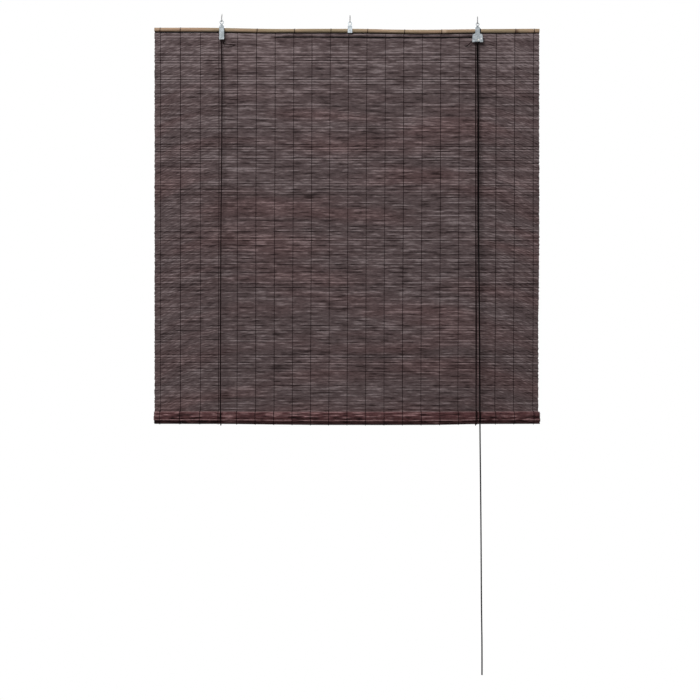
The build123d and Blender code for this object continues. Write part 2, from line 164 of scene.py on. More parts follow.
def mix_of(tree, factor, a, b, blend="MIX"):
    made = tree.nodes.new("ShaderNodeMix")
    made.data_type = "RGBA"
    made.blend_type = blend
    for socket, value in ((made.inputs[0], factor), (made.inputs[6], a), (made.inputs[7], b)):
        if isinstance(value, bpy.types.NodeSocket):
            tree.links.new(value, socket)
        else:
            socket.default_value = value
    return made.outputs[2]


def noise_of(tree, vector, scale, detail, rough):
    values = {"Vector": vector, "Scale": scale, "Detail": detail, "Roughness": rough}
    return node(tree, "ShaderNodeTexNoise", {"noise_dimensions": "3D"}, values).outputs["Fac"]


def stretched_noise(tree, vector, scale, detail, rough):
    """Noise with a scale of its own along each axis."""
    stretched = node(tree, "ShaderNodeVectorMath", {"operation": "MULTIPLY"}, {0: vector, 1: scale})
    return noise_of(tree, stretched.outputs[0], 1.0, detail, rough)


def xyz_of(tree, x, y, z):
    return node(tree, "ShaderNodeCombineXYZ", {}, {0: x, 1: y, 2: z}).outputs[0]


def object_place(tree):
    return tree.nodes.new("ShaderNodeTexCoord").outputs["Object"]


def marked(tree, name):
    """The number that mark() puts on each point of a mesh."""
    return node(tree, "ShaderNodeAttribute", {"attribute_name": name}, {}).outputs["Fac"]


def seen_by_camera_or_mirror(tree):
    """1 for rays that show a surface to the camera, straight or mirrored; 0 for rays that light others."""
    path = tree.nodes.new("ShaderNodeLightPath")
    seen = math_of(tree, "MAXIMUM", path.outputs["Is Camera Ray"], path.outputs["Is Glossy Ray"])
    return math_of(tree, "MAXIMUM", seen, path.outputs["Is Transmission Ray"])


def new_group(name, inputs, outputs):
    """An empty node group with its sockets: {name: (type, value)} in, {name: type} out."""
    tree = bpy.data.node_groups.new(name, "ShaderNodeTree")
    kinds = {"float": "NodeSocketFloat", "color": "NodeSocketColor", "vector": "NodeSocketVector"}
    for label, (kind, value) in inputs.items():
        socket = tree.interface.new_socket(name=label, in_out="INPUT", socket_type=kinds[kind])
        socket.default_value = rgba(value) if kind == "color" else value
    for label, kind in outputs.items():
        tree.interface.new_socket(name=label, in_out="OUTPUT", socket_type=kinds[kind])
    return tree, tree.nodes.new("NodeGroupInput"), tree.nodes.new("NodeGroupOutput")


def finish_group(tree, out, **sockets):
    for name, socket in sockets.items():
        tree.links.new(socket, out.inputs[name])


def shaded(name, group, values, bump, distance, own):
    """A material with colour, roughness and height from a node group, and values of its own on its shader."""
    material = bpy.data.materials.new(name)
    material.use_nodes = True
    tree = material.node_tree
    bsdf = tree.nodes["Principled BSDF"]
    made = tree.nodes.new("ShaderNodeGroup")
    made.node_tree = bpy.data.node_groups[group]
    for label, value in values.items():
        made.inputs[label].default_value = rgba(value) if isinstance(value, tuple) else value
    tree.links.new(made.outputs["Color"], bsdf.inputs["Base Color"])
    tree.links.new(made.outputs["Roughness"], bsdf.inputs["Roughness"])
    lift = node(tree, "ShaderNodeBump", {}, {
        "Strength": bump, "Distance": distance, "Height": made.outputs["Height"],
    })
    tree.links.new(lift.outputs["Normal"], bsdf.inputs["Normal"])
    for label, value in own.items():
        bsdf.inputs[label].default_value = value
    return material


# Finishes

FINISH_SOCKETS = {"Color": "color", "Roughness": "float", "Height": "float"}


def fibre_group():
    """Long fibres along X: used by every bamboo and wood finish."""
    inputs = {"Vector": ("vector", (0, 0, 0)), "Fine": ("float", 1800.0), "Long": ("float", 26.0)}
    tree, given, out = new_group("long_fibres", inputs, {"Fibre": "float"})
    scale = xyz_of(tree, given.outputs["Long"], given.outputs["Fine"], given.outputs["Fine"])
    finish_group(tree, out, Fibre=stretched_noise(tree, given.outputs["Vector"], scale, 3.0, 0.6))


def place_fibres(tree, vector, fine, long):
    made = tree.nodes.new("ShaderNodeGroup")
    made.node_tree = bpy.data.node_groups["long_fibres"]
    made.inputs["Fine"].default_value = fine
    made.inputs["Long"].default_value = long
    tree.links.new(vector, made.inputs["Vector"])
    return made.outputs["Fibre"]


def split_bamboo_group():
    """Stained bamboo splits. Each has streaks of its own along X, and they fan a little to the ends."""
    inputs = {
        "Dark": ("color", 0.02),
        "Middle": ("color", 0.06),
        "Light": ("color", 0.14),
        "Red": ("color", (0.09, 0.05, 0.05)),
        "Fan": ("float", 1.0),
        "Contrast": ("float", 1.0),
    }
    tree, given, out = new_group("stained_splits", inputs, FINISH_SOCKETS)
    dark, middle, light, red, fan, contrast = (given.outputs[label] for label in inputs)
    place = object_place(tree)
    along = node(tree, "ShaderNodeSeparateXYZ", {}, {0: place}).outputs[0]
    slat = marked(tree, "slat_height")
    height = marked(tree, "rest_height")
    tone = marked(tree, "slat_tone")
    # From 0.26 m each side of the mat's middle, the streaks bend down more and more
    reach = math_of(tree, "ABSOLUTE", plus(tree, along, 0.008))
    reach = math_of(tree, "MAXIMUM", math_of(tree, "SUBTRACT", reach, 0.26), 0.0)
    sweep = times(tree, times(tree, times(tree, reach, reach), 0.95), fan)
    side = ramp_of(tree, reach, 0.0, 0.12)
    # Streaks that keep to one split, streaks that cross a few, and broad patches, each with its weight
    fanned = xyz_of(tree, along, 0.0, plus(tree, height, sweep))
    streak = stretched_noise(tree, xyz_of(tree, along, 0.0, slat), (24.0, 1.0, 450.0), 1.0, 0.5)
    short = stretched_noise(tree, fanned, (42.0, 1.0, 400.0), 1.0, 0.6)
    broad = stretched_noise(tree, fanned, (8.0, 1.0, 34.0), 2.0, 0.6)
    deep = stretched_noise(tree, fanned, (1.6, 1.0, 9.0), 1.0, 0.5)
    layers = (
        (streak, ramp_of(tree, side, 0.0, 1.0, 1.55, 1.0)),
        (short, ramp_of(tree, side, 0.0, 1.0, 0.6, 1.35)),
        (broad, 0.6),
        (deep, 0.15),
    )
    level = 0.0
    for noise, weight in layers:
        level = plus(tree, level, times(tree, math_of(tree, "SUBTRACT", noise, 0.5), weight))
    # Painted light: the splits are a little lighter towards the top of the mat, fading out by 0.2 m down
    level = plus(tree, level, ramp_of(tree, slat, -0.2, -0.05, 0.0, 0.1))
    level = plus(tree, level, times(tree, tone, 0.13))
    level = plus(tree, times(tree, level, contrast), 0.5, clamp=True)
    color = mix_of(tree, ramp_of(tree, level, 0.0, 0.5), dark, middle)
    color = mix_of(tree, ramp_of(tree, level, 0.5, 1.0), color, light)
    # Redder patches, mostly lower down
    ruddy = stretched_noise(tree, fanned, (2.4, 1.0, 17.0), 2.0, 0.5)
    ruddy = ramp_of(tree, ruddy, 0.4, 0.7, 0.0, 0.6)
    ruddy = times(tree, ruddy, ramp_of(tree, slat, -0.3, -0.08, 1.0, 0.2))
    color = mix_of(tree, ruddy, color, mix_of(tree, 1.0, color, red, "MULTIPLY"))
    # Fine flecks, then the nearly black splits, whose tone is BLACK_TONE: the one under the cane is painted
    # shadow
    fleck = ramp_of(tree, place_fibres(tree, fanned, 520.0, 100.0), 0.3, 0.7, 0.72, 1.28)
    fleck = node(tree, "ShaderNodeCombineColor", {}, {0: fleck, 1: fleck, 2: fleck}).outputs[0]
    color = mix_of(tree, 1.0, color, fleck, "MULTIPLY")
    color = mix_of(tree, ramp_of(tree, tone, -6.0, -4.0, 0.96, 0.0), color, rgba(0.0))
    rough = ramp_of(tree, streak, 0.3, 0.7, 0.7, 0.55)
    finish_group(tree, out, Color=color, Roughness=rough, Height=place_fibres(tree, place, 1500.0, 30.0))


def cane_group():
    """Natural cane: tan with a green cast, darker in places, with fine fibres and pale growth rings."""
    inputs = {
        "Tan": ("color", (0.3, 0.2, 0.12)),
        "Green": ("color", (0.2, 0.18, 0.1)),
        "Pale": ("color", (0.5, 0.36, 0.25)),
        "Stain": ("color", (0.08, 0.045, 0.025)),
    }
    tree, given, out = new_group("natural_cane", inputs, FINISH_SOCKETS)
    tan, green, pale, stain = (given.outputs[label] for label in inputs)
    place = object_place(tree)
    ring = marked(tree, "growth_ring")
    patch = stretched_noise(tree, place, (9.0, 60.0, 60.0), 2.0, 0.5)
    stripe = stretched_noise(tree, place, (14.0, 420.0, 420.0), 3.0, 0.6)
    color = mix_of(tree, ramp_of(tree, patch, 0.35, 0.65), tan, green)
    color = mix_of(tree, ramp_of(tree, stripe, 0.5, 0.75, 0.0, 0.75), color, pale)
    color = mix_of(tree, ramp_of(tree, stripe, 0.45, 0.25, 0.0, 0.6), color, stain)
    color = mix_of(tree, ramp_of(tree, ring, 0.1, 0.9, 0.0, 0.8), color, pale)
    color = mix_of(tree, ramp_of(tree, ring, -0.1, -0.9, 0.0, 0.85), color, stain)
    rough = ramp_of(tree, patch, 0.3, 0.7, 0.45, 0.62)
    finish_group(tree, out, Color=color, Roughness=rough, Height=place_fibres(tree, place, 2200.0, 20.0))


def plate_group():
    """Plated steel: a spangle of pale blue and grey, fine scratches and dull spots."""
    inputs = {
        "Bright": ("color", (0.75, 0.78, 0.82)),
        "Shade": ("color", (0.42, 0.45, 0.5)),
        "Spangle": ("float", 420.0),
        "Polish": ("float", 0.28),
    }
    tree, given, out = new_group("plated_metal", inputs, FINISH_SOCKETS)
    bright, shade, spangle, polish = (given.outputs[label] for label in inputs)
    place = object_place(tree)
    cell = node(tree, "ShaderNodeTexVoronoi", {"feature": "F1"}, {"Vector": place, "Scale": spangle})
    grain = node(tree, "ShaderNodeSeparateColor", {}, {0: cell.outputs["Color"]}).outputs[0]
    patch = noise_of(tree, place, 260.0, 3.0, 0.6)
    scratch = stretched_noise(tree, place, (2600.0, 300.0, 260.0), 2.0, 0.5)
    share = plus(tree, times(tree, grain, 0.5), times(tree, patch, 0.5))
    color = mix_of(tree, ramp_of(tree, share, 0.25, 0.75), shade, bright)
    rough = plus(tree, polish, ramp_of(tree, patch, 0.4, 0.7, 0.0, 0.1))
    height = plus(tree, times(tree, scratch, 0.35), times(tree, patch, 0.65))
    finish_group(tree, out, Color=color, Roughness=rough, Height=height)


def yarn_group():
    """Spun cotton: dark fibres with paler, worn ones on top."""
    inputs = {
        "Deep": ("color", (0.02, 0.012, 0.012)),
        "Worn": ("color", (0.12, 0.09, 0.08)),
        "Wear": ("float", 0.5),
        "Fineness": ("float", 1500.0),
    }
    tree, given, out = new_group("spun_cotton", inputs, FINISH_SOCKETS)
    deep, worn, wear, fineness = (given.outputs[label] for label in inputs)
    place = object_place(tree)
    fluff = noise_of(tree, place, fineness, 3.0, 0.65)
    patch = stretched_noise(tree, place, (60.0, 60.0, 9.0), 3.0, 0.6)
    share = times(tree, ramp_of(tree, fluff, 0.35, 0.7), wear)
    share = plus(tree, share, ramp_of(tree, patch, 0.5, 0.75, 0.0, 0.35), clamp=True)
    rough = ramp_of(tree, fluff, 0.0, 1.0, 0.95, 0.75)
    finish_group(tree, out, Color=mix_of(tree, share, deep, worn), Roughness=rough, Height=fluff)


def moulded_group():
    """Moulded nylon, a little grubby where the cord runs."""
    inputs = {"Clean": ("color", (0.55, 0.52, 0.45)), "Grime": ("color", (0.16, 0.12, 0.09))}
    tree, given, out = new_group("moulded_nylon", inputs, FINISH_SOCKETS)
    patch = noise_of(tree, object_place(tree), 700.0, 3.0, 0.6)
    color = mix_of(tree, ramp_of(tree, patch, 0.5, 0.8), given.outputs["Clean"], given.outputs["Grime"])
    rough = ramp_of(tree, patch, 0.3, 0.7, 0.42, 0.6)
    finish_group(tree, out, Color=color, Roughness=rough, Height=patch)


# Each finish: its group, the group's values, the bump's strength and distance, and the shader's own values
FINISHES = {
    "stained_bamboo": ("stained_splits", {
        "Dark": (0.024, 0.016, 0.0161), "Middle": (0.085, 0.0615, 0.0622), "Light": (0.2, 0.16, 0.162),
        "Red": (1.1, 0.86, 0.84), "Fan": 1.0, "Contrast": 1.0,
    }, 0.35, 0.00015, {"Specular IOR Level": 0.06}),
    "rolled_bamboo": ("stained_splits", {
        "Dark": (0.007, 0.0015, 0.0017), "Middle": (0.066, 0.028, 0.029), "Light": (0.22, 0.13, 0.13),
        "Red": (1.1, 0.8, 0.8), "Fan": 0.0, "Contrast": 1.15,
    }, 0.35, 0.00015, {"Specular IOR Level": 0.06}),
    "rail_cane": ("natural_cane", {
        "Tan": (0.335, 0.222, 0.148), "Green": (0.265, 0.205, 0.13),
        "Pale": (0.45, 0.335, 0.245), "Stain": (0.14, 0.08, 0.052),
    }, 0.25, 0.0001, {"Specular IOR Level": 0.05}),
    "core_wood": ("natural_cane", {
        "Tan": (0.16, 0.09, 0.05), "Green": (0.12, 0.075, 0.045),
        "Pale": (0.22, 0.14, 0.09), "Stain": (0.06, 0.03, 0.02),
    }, 0.4, 0.0002, {}),
    "zinc_plate": ("plated_metal", {
        "Bright": (0.38, 0.41, 0.43), "Shade": (0.27, 0.3, 0.32), "Spangle": 200.0, "Polish": 0.2,
    }, 0.1, 0.0001, {"Metallic": 1.0}),
    # The middle hanger's zinc: the same plate as zinc_plate, painted lighter as painted light
    "zinc_painted_lighter": ("plated_metal", {
        "Bright": (0.5, 0.55, 0.58), "Shade": (0.38, 0.42, 0.45), "Spangle": 200.0, "Polish": 0.25,
    }, 0.1, 0.0001, {"Metallic": 1.0}),
    "hook_steel": ("plated_metal", {
        "Bright": (0.25, 0.245, 0.25), "Shade": (0.12, 0.12, 0.125), "Spangle": 500.0, "Polish": 0.34,
    }, 0.3, 0.0001, {"Metallic": 1.0}),
    "bright_rivet": ("plated_metal", {
        "Bright": (0.85, 0.86, 0.88), "Shade": (0.6, 0.61, 0.63), "Spangle": 700.0, "Polish": 0.22,
    }, 0.2, 0.0001, {"Metallic": 1.0}),
    "roller_brass": ("plated_metal", {
        "Bright": (0.78, 0.74, 0.66), "Shade": (0.55, 0.5, 0.42), "Spangle": 900.0, "Polish": 0.25,
    }, 0.2, 0.0001, {"Metallic": 1.0}),
    "warp_cotton": ("spun_cotton", {
        "Deep": (0.008, 0.0035, 0.004), "Worn": (0.022, 0.012, 0.013), "Wear": 0.4, "Fineness": 2600.0,
    }, 0.5, 0.0001, {"Specular IOR Level": 0.02}),
    "lift_cord_cotton": ("spun_cotton", {
        "Deep": (0.007, 0.004, 0.004), "Worn": (0.025, 0.015, 0.015), "Wear": 0.4, "Fineness": 2200.0,
    }, 0.5, 0.0001, {"Specular IOR Level": 0.02}),
    "pull_cord_cotton": ("spun_cotton", {
        "Deep": (0.001, 0.0008, 0.0008), "Worn": (0.006, 0.005, 0.005), "Wear": 0.3, "Fineness": 2200.0,
    }, 0.5, 0.0001, {"Specular IOR Level": 0.02}),
    "wheel_nylon": ("moulded_nylon", {
        "Clean": (0.55, 0.52, 0.45), "Grime": (0.2, 0.15, 0.11),
    }, 0.15, 0.0001, {}),
}


def make_finishes():
    for make_group in (fibre_group, split_bamboo_group, cane_group, plate_group, yarn_group, moulded_group):
        make_group()
    return {name: shaded(name, *recipe) for name, recipe in FINISHES.items()}


# Modelling helpers

def nothing_selected():
    if bpy.context.mode != "OBJECT":
        bpy.ops.object.mode_set(mode="OBJECT")
    bpy.ops.object.select_all(action="DESELECT")


def only(obj):
    nothing_selected()
    obj.select_set(True)
    bpy.context.view_layer.objects.active = obj


class EditMode:
    """Edit mode, for the operators under it."""

    def __enter__(self):
        bpy.ops.object.mode_set(mode="EDIT")

    def __exit__(self, *_):
        bpy.ops.object.mode_set(mode="OBJECT")


def none_chosen():
    """No face, edge or point of the active mesh stays selected."""
    with EditMode():
        bpy.ops.mesh.select_all(action="DESELECT")


def joined(objects, name):
    only(objects[0])
    for obj in objects[1:]:
        obj.select_set(True)
    if len(objects) > 1:
        bpy.ops.object.join()
    piece = bpy.context.view_layer.objects.active
    piece.name = name
    piece.data.name = name
    return piece


def finished(piece, finish, nodes, smooth=None):
    """Puts the piece's place in its mesh, gives it its finish, and hides the CAD nodes it stands for."""
    only(piece)
    bpy.ops.object.transform_apply(location=True, rotation=True, scale=True)
    if smooth:
        bpy.ops.object.shade_smooth_by_angle(angle=math.radians(smooth))
    piece.data.materials.clear()
    piece.data.materials.append(FINISH[finish])
    if nodes:
        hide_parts(*nodes)


def coords(obj):
    out = np.empty(len(obj.data.vertices) * 3)
    obj.data.vertices.foreach_get("co", out)
    return out.reshape(-1, 3)


def set_coords(obj, points):
    obj.data.vertices.foreach_set("co", np.asarray(points, float).ravel())
    obj.data.update()


def mark(obj, name, values):
    """A number on each point, for the finish to read."""
    layer = obj.data.attributes.get(name) or obj.data.attributes.new(name, "FLOAT", "POINT")
    layer.data.foreach_set("value", np.asarray(values, np.float32))


def stretches(piece):
    """Puts the piece's place into its mesh. The heights of its points are read but not used."""
    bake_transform(piece)
    z = coords(piece)[:, 2] / MM


def read_route(points, name):
    """The smooth line of a cord's route, read from a NURBS spline through its control points, in metres."""
    curve = bpy.data.curves.new(name, "CURVE")
    curve.dimensions = "3D"
    curve.resolution_u = 12
    spline = curve.splines.new("NURBS")
    spline.points.add(len(points) - 1)
    for point, place in zip(spline.points, points):
        point.co = (place[0] * MM, place[1] * MM, place[2] * MM, 1.0)
    spline.order_u = 3
    spline.use_endpoint_u = True
    obj = bpy.data.objects.new(name, curve)
    bpy.context.collection.objects.link(obj)
    bpy.context.view_layer.update()
    mesh = bpy.data.meshes.new_from_object(obj)
    line = np.array([v.co for v in mesh.vertices])
    bpy.data.objects.remove(obj)
    bpy.data.curves.remove(curve)
    bpy.data.meshes.remove(mesh)
    return line


def even_steps(line, step):
    """Points at even steps along a line."""
    gone = np.concatenate([[0], np.cumsum(np.linalg.norm(np.diff(line, axis=0), axis=1))])
    count = max(2, int(round(gone[-1] / step)) + 1)
    at = np.linspace(0, gone[-1], count)
    return np.stack([np.interp(at, gone, line[:, k]) for k in range(3)], axis=1)


CORD_STRANDS = 3
STRAND_SHAPE = (1.0, 0.97, 0.86, 0.97)
CORD_LAY = 9.0


def lobed_section(radius, name):
    """The cord's section: a lobe for each strand. The curve along the route turns it to lay the strands."""
    curve = bpy.data.curves.new(name, "CURVE")
    curve.dimensions = "2D"
    spline = curve.splines.new("POLY")
    sides = CORD_STRANDS * len(STRAND_SHAPE)
    spline.points.add(sides - 1)
    for k in range(sides):
        turn = 2 * math.pi * k / sides
        reach = radius * STRAND_SHAPE[k % len(STRAND_SHAPE)]
        spline.points[k].co = (reach * math.cos(turn), reach * math.sin(turn), 0, 1)
    spline.use_cyclic_u = True
    obj = bpy.data.objects.new(name, curve)
    bpy.context.collection.objects.link(obj)
    return obj


def laid_cord(name, points, radius, step=1.5):
    """A laid cord along a route, and its line. The strands go once round it in each CORD_LAY."""
    line = even_steps(read_route(points, name + "_route"), step * MM)
    section = lobed_section(radius * MM, name + "_section")
    curve = bpy.data.curves.new(name, "CURVE")
    curve.dimensions = "3D"
    curve.twist_mode = "MINIMUM"
    curve.bevel_mode = "OBJECT"
    curve.bevel_object = section
    curve.use_fill_caps = True
    spline = curve.splines.new("POLY")
    spline.points.add(len(line) - 1)
    for k, place in enumerate(line):
        spline.points[k].co = (*place, 1.0)
        spline.points[k].tilt = 2 * math.pi * k * step / CORD_LAY
    obj = bpy.data.objects.new(name, curve)
    bpy.context.collection.objects.link(obj)
    only(obj)
    bpy.ops.object.convert(target="MESH")
    obj = bpy.context.view_layer.objects.active
    bpy.data.objects.remove(section)
    return obj, line


def plain_strand(name, points, radius, sides=5, radii=None, cyclic=False):
    """A thin strand or wire straight through its points, in millimetres."""
    curve = bpy.data.curves.new(name, "CURVE")
    curve.dimensions = "3D"
    curve.twist_mode = "MINIMUM"
    curve.bevel_depth = radius * MM
    curve.bevel_resolution = max(0, (sides - 4) // 2)
    curve.use_fill_caps = not cyclic
    spline = curve.splines.new("POLY")
    spline.points.add(len(points) - 1)
    spline.use_cyclic_u = cyclic
    for k, place in enumerate(points):
        spline.points[k].co = (place[0] * MM, place[1] * MM, place[2] * MM, 1.0)
        if radii is not None:
            spline.points[k].radius = radii[k]
    obj = bpy.data.objects.new(name, curve)
    bpy.context.collection.objects.link(obj)
    only(obj)
    bpy.ops.object.convert(target="MESH")
    return bpy.context.view_layer.objects.active


def around_bar(centre, radius, turns, x_from, x_to):
    """Points of a cord's own spline that carry it round a bar along X, eight to each turn."""
    points = []
    reach = radius / math.cos(math.pi / 8)
    count = max(2, int(round(abs(turns[1] - turns[0]) / 45.0)))
    for k in range(count):
        share = (k + 0.5) / count
        turn = math.radians(turns[0] + (turns[1] - turns[0]) * share)
        x = x_from + (x_to - x_from) * share
        points.append((x, centre[0] + reach * math.cos(turn), centre[1] + reach * math.sin(turn)))
    return points


# Cords

UPPER_ROUTE = [
    (PULL_X, 0, -49.2),
    (PULL_X, 0, -56.5),
    (PULL_X - 6.0, -0.6, -61.5),
    (PULL_X - 6.8, -0.9, -72),
    (PULL_X - 4.4, -4.2, -234),
    (PULL_X - 4.6, -13.5, -572),
    (PULL_X - 2.0, -21.5, -832),
    (PULL_X - 2.1, OVER_ROLL + 0.6, -1000),
    (PULL_X - 1.7, OVER_ROLL, -1060),
]
LOWER_ROUTE = [
    (PULL_X - 1.7, OVER_ROLL, -1060.1),
    (PULL_X - 1.4, OVER_ROLL, -1100),
    (PULL_X + 0.1, OVER_ROLL - 0.3, -1230),
    (PULL_X + 1.4, OVER_ROLL - 0.2, -1400),
    (PULL_X + 1.9, OVER_ROLL - 0.5, -1508),
    (PULL_X + 3.1, OVER_ROLL - 0.3, -1590),
    (PULL_X + 3.5, OVER_ROLL - 0.4, -1645),
    (PULL_X + 3.4, OVER_ROLL - 0.4, -1697),
]
CROSS_ROUTE = [
    (-336.1, 0, -44.0),
    (-336.1, 0, -40.9),
    (-329.9, 0, -40.9),
    (-329.9, 0, -50.0),
    (-329.9, 0, -58.5),
    (-325.0, 0, GAP_LEFT),
    (-312.5, 0, GAP_LEFT),
    (-294.2, BEHIND_MAT, GAP_LEFT),
    (-240.0, BEHIND_MAT + 0.3, GAP_LEFT - 0.4),
    (262.0, BEHIND_MAT + 0.3, GAP_RIGHT - 0.4),
    (295.5, BEHIND_MAT, GAP_RIGHT),
    (308.0, 1.2, GAP_RIGHT + 0.5),
    (329.72, 1.2, -38.55),
    (337.25, 1.2, -38.55),
    (337.25, 1.2, -44.0),
    (337.25, 1.2, -49.0),
]
IN_LOCK_ROUTE = [
    (327.35, -1.2, -43.5),
    (327.35, -1.2, -38.55),
    (337.25, -1.2, -38.55),
    (337.25, -1.2, -44.0),
    (337.25, -1.2, -49.0),
]
# How much more radius a cord is drawn with, so that it shows as wide as in the photograph
PULL_WIDER, LEFT_WIDER, RIGHT_WIDER = 0.5, 0.5, 0.3
SLING_FRONT, SLING_BACK = ROLL_Y - SLING_R, ROLL_Y + SLING_R
SLING_TOP = ROLL_Z + 0.1
LEFT_SLING_X, RIGHT_SLING_X = LEFT_LIFT_X + 1.5, RIGHT_LIFT_X - 2.0
HITCH_END = (MAT_Y + 2.9, -36.15)
FRONT_ROUTES = {
    "left": [
        (LEFT_LIFT_X, 0, -44.1),
        (LEFT_LIFT_X + 4.0, -0.3, -62.1),
        (LEFT_LIFT_X + 4.0, -9.0, -360.0),
        (LEFT_SLING_X, -13.5, -539.05),
        (LEFT_SLING_X, SLING_FRONT, SLING_TOP),
    ],
    "right": [
        (RIGHT_LIFT_X, -1.2, -43.6),
        (RIGHT_LIFT_X - 1.8, -1.5, -61.6),
        (RIGHT_LIFT_X - 1.8, -9.8, -360.0),
        (RIGHT_SLING_X, -14.1, -538.8),
        (RIGHT_SLING_X, SLING_FRONT, SLING_TOP),
    ],
}
BACK_ROUTES = {
    "left": [(LEFT_SLING_X, SLING_BACK, SLING_TOP), (-336.75, 11.7, -535.0), (LEFT_HITCH_X, *HITCH_END)],
    "right": [(RIGHT_SLING_X, SLING_BACK, SLING_TOP), (333.475, 11.7, -535.0), (RIGHT_HITCH_X, *HITCH_END)],
}


def make_pull_cord():
    upper, line = laid_cord("pull_cord_upper_run", UPPER_ROUTE, PULL_CORD_R + PULL_WIDER)
    finished(upper, "pull_cord_cotton", ["pull_cord_upper"], 60)
    stretches(upper)

    lower, line = laid_cord("pull_cord_lower_run", LOWER_ROUTE, PULL_CORD_R + PULL_WIDER)
    finished(lower, "pull_cord_cotton", ["pull_cord_lower"], 60)
    stretches(lower)


def lift_cord(name, points, radius, nodes, step=1.5):
    """A stretch of lift cord, with the cord's finish."""
    run, _ = laid_cord(name, points, radius, step)
    finished(run, "lift_cord_cotton", nodes, 60)
    return run


def make_lift_cords():
    """Each lift cord: down the front, under the roll, up the back, and hitched to the cane."""
    for side, x, hitch_x, front_r in (
        ("left", LEFT_SLING_X, LEFT_HITCH_X, CORD_R + LEFT_WIDER),
        ("right", RIGHT_SLING_X, RIGHT_HITCH_X, CORD_R + RIGHT_WIDER),
    ):
        front = lift_cord(side + "_front_run", FRONT_ROUTES[side], front_r, [side + "_lift_cord_front"])
        stretches(front)

        back = lift_cord(side + "_back_run", BACK_ROUTES[side], CORD_R, [side + "_lift_cord_back"])
        stretches(back)

        under = lift_cord(side + "_under_roll", [
            (x, SLING_FRONT, ROLL_Z),
            *around_bar((ROLL_Y, ROLL_Z), SLING_R, (180, 360), x, x),
            (x, SLING_BACK, ROLL_Z),
        ], CORD_R, [side + "_sling"])
        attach(under, "lift_slings")

        middle = rail_height(hitch_x)
        hitch_r = CANE_R + CORD_R - 0.2
        hitch = lift_cord(side + "_hitch", [
            (hitch_x, MAT_Y + 2.9, -36.1),
            (hitch_x, MAT_Y + hitch_r, middle - 5.0),
            *around_bar((MAT_Y, middle), hitch_r, (0, 700), hitch_x - 0.2, hitch_x - 2.6),
            (hitch_x - 1.0, MAT_Y + hitch_r + 2.0, middle - 3.0),
            (hitch_x + 1.6, MAT_Y + hitch_r + 1.6, middle - 6.5),
            (hitch_x + 2.4, MAT_Y + hitch_r, middle - 14.0),
        ], CORD_R - 0.15, [side + "_cord_hitch"], step=1.1)
        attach(hitch, "headrail")

    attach(lift_cord("cross_run", CROSS_ROUTE, CORD_R, ["cross_cord"]), "headrail")
    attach(lift_cord("lock_run", IN_LOCK_ROUTE, CORD_R, ["right_cord_in_lock"], step=1.0), "headrail")


# Top rail

CANE_SIDES, CANE_CUTS = 28, 420
CANE_WALL, CANE_HOLLOW = 2.6, 30
CANE_SKIN = 4.5
RAIL_LINE = (
    (-510, -25.1), (-390, -25.1), (-312, -26.0), (-260, -27.4), (-195, -28.1), (-78, -27.7), (26, -27.9),
    (130, -30.1), (208, -30.5), (286, -29.1), (390, -28.5), (495, -27.9),
)
GROWTH_RINGS = (-437.0, -236.0, 62.0, 243.0, 434.0)
# Each growth ring's shape and colour, as height, place and width of the ridges and grooves that make it up
RING_SHAPE = ((0.55, 1.3, 1.5), (0.3, -2.6, 1.2), (-0.35, -0.7, 0.9))
RING_COLOUR = ((1.0, 1.4, 1.4), (-1.2, -0.7, 1.0))


def rail_line_at(x):
    """The height of the crooked cane's middle along x, with the corners of its line smoothed."""
    at = [p[0] for p in RAIL_LINE]
    height = [p[1] for p in RAIL_LINE]
    return np.mean([np.interp(x + step, at, height) for step in np.linspace(-30, 30, 13)], axis=0)


def rail_height(x):
    return float(rail_line_at(np.array([float(x)]))[0])


def ridges(offset, parts):
    return sum(height * np.exp(-((offset - place) / width) ** 2) for height, place, width in parts)


def cylinder_along_x(sides, radius, length):
    nothing_selected()
    bpy.ops.mesh.primitive_cylinder_add(
        vertices=sides, radius=radius, depth=length, end_fill_type="NGON", rotation=(0, math.pi / 2, 0),
    )
    bpy.ops.object.transform_apply(location=False, rotation=True, scale=False)
    return bpy.context.view_layer.objects.active


